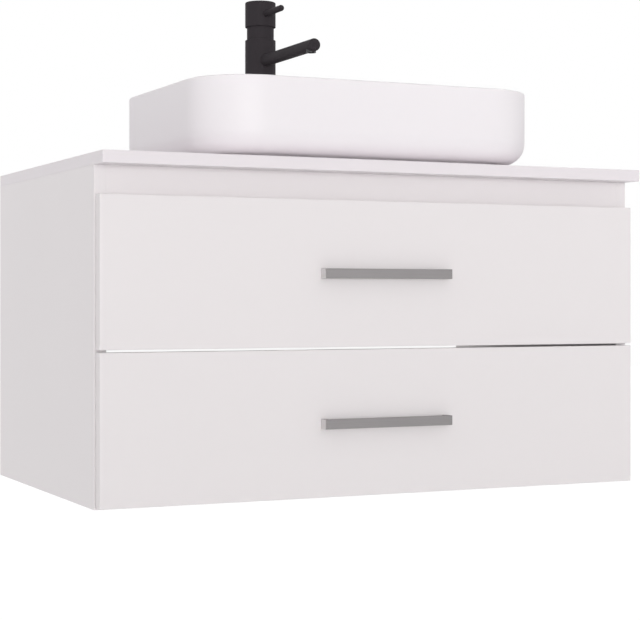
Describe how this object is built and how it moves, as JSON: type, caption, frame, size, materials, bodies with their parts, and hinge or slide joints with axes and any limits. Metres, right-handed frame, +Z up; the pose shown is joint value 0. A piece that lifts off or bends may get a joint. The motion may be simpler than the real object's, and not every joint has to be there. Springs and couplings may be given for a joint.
{
  "type": "floating vanity",
  "caption": "Wall-hung bathroom vanity with deep drawers, a rounded vessel basin, a tall single-lever mixer tap, a push-open waste and a bottle trap.",
  "frame": {"origin": "middle of the four wall screws' holes, on the wall plane", "axes": "+X to the right along the front, +Y into the wall, +Z up; the drawers face -Y"},
  "size_m": [0.8, 0.5, 0.7285],
  "materials": {
    "laminated_board": "satin white melamine",
    "front_lacquer": "satin white lacquer",
    "worktop_board": "satin white",
    "dowel_wood": "raw beech",
    "zinc_steel": "zinc-plated",
    "runner_steel": "zinc-plated",
    "brushed_nickel": "brushed",
    "grey_plastic": "satin",
    "white_glaze": "glossy glaze",
    "sealant": "smooth silicone",
    "chrome_plate": "polished",
    "black_rubber": "matt",
    "trap_plastic": "smooth",
    "black_coat": "matt powder coat",
    "black_plastic": "matt",
    "cartridge_plastic": "smooth",
    "raw_brass": "turned"
  },
  "bodies": {
    "cabinet": {"side_panel_left": "laminated_board", "side_panel_right": "laminated_board", "bottom_panel": "laminated_board", "front_rail": "laminated_board", "rear_rail_upper": "laminated_board", "rear_rail_lower": "laminated_board", "worktop": "worktop_board", "cam_discs": "zinc_steel", "cam_bolts": "zinc_steel", "dowels": "dowel_wood", "worktop_brackets": "zinc_steel", "cabinet_screws": "zinc_steel", "hanger_housings": "grey_plastic", "hanger_hooks": "zinc_steel", "wall_plates": "zinc_steel", "cabinet_runners": "runner_steel", "basin": "white_glaze", "basin_seal": "sealant", "waste_body": "chrome_plate", "waste_gaskets": "black_rubber", "waste_nut": "chrome_plate", "trap_inlet_pipe": "trap_plastic", "trap_body": "trap_plastic", "trap_cup": "trap_plastic", "trap_nuts": "trap_plastic", "trap_outlet_pipe": "trap_plastic", "tap_column": "black_coat", "tap_spout": "black_coat", "aerator": "black_plastic", "tap_base_ring": "black_rubber", "tap_stud": "zinc_steel", "tap_clamp": "zinc_steel", "tap_nut": "zinc_steel", "neck_cover": "black_coat", "cartridge": "cartridge_plastic", "cartridge_nut": "raw_brass"},
    "upper_middles": {"upper_middle_runners": "runner_steel"},
    "lower_middles": {"lower_middle_runners": "runner_steel"},
    "upper_drawer": {"upper_drawer_front": "front_lacquer", "upper_drawer_handle": "brushed_nickel", "upper_drawer_sides": "laminated_board", "upper_drawer_ends": "laminated_board", "upper_drawer_recess": "laminated_board", "upper_drawer_bottom": "laminated_board", "upper_drawer_runners": "runner_steel", "upper_drawer_screws": "zinc_steel"},
    "lower_drawer": {"lower_drawer_front": "front_lacquer", "lower_drawer_handle": "brushed_nickel", "lower_drawer_sides": "laminated_board", "lower_drawer_ends": "laminated_board", "lower_drawer_bottom": "laminated_board", "lower_drawer_runners": "runner_steel", "lower_drawer_screws": "zinc_steel"},
    "plug": {"waste_plug": "chrome_plate"},
    "mixer_turret": {"cartridge_turret": "cartridge_plastic"},
    "lever": {"lever_stem": "zinc_steel", "lever_cap": "black_coat", "lever_pin": "black_coat", "lever_grub_screw": "zinc_steel"}
  },
  "joints": [
    {"name": "upper_drawer_slide", "type": "slide", "parent": "cabinet", "child": "upper_drawer", "axis": [0, -1, 0], "range_m": [0, 0.38]},
    {"name": "lower_drawer_slide", "type": "slide", "parent": "cabinet", "child": "lower_drawer", "axis": [0, -1, 0], "range_m": [0, 0.38]},
    {"name": "upper_middle_slide", "type": "slide", "parent": "cabinet", "child": "upper_middles", "axis": [0, -1, 0], "range_m": [0, 0.19]},
    {"name": "lower_middle_slide", "type": "slide", "parent": "cabinet", "child": "lower_middles", "axis": [0, -1, 0], "range_m": [0, 0.19]},
    {"name": "mixer_turn", "type": "hinge", "parent": "cabinet", "child": "mixer_turret", "pos_m": [0, -0.0554, 0.3055], "axis": [0, 0, 1], "range_deg": [-50, 50]},
    {"name": "mixer_lift", "type": "hinge", "parent": "mixer_turret", "child": "lever", "pos_m": [0, -0.0554, 0.3055], "axis": [-1, 0, 0], "range_deg": [0, 20]},
    {"name": "waste_plug_slide", "type": "slide", "parent": "cabinet", "child": "plug", "axis": [0, 0, 1], "range_m": [0, 0.009]}
  ],
  "couplings": [
    {"joint": "upper_middle_slide", "follows": "upper_drawer_slide", "ratio": 0.5},
    {"joint": "lower_middle_slide", "follows": "lower_drawer_slide", "ratio": 0.5}
  ]
}
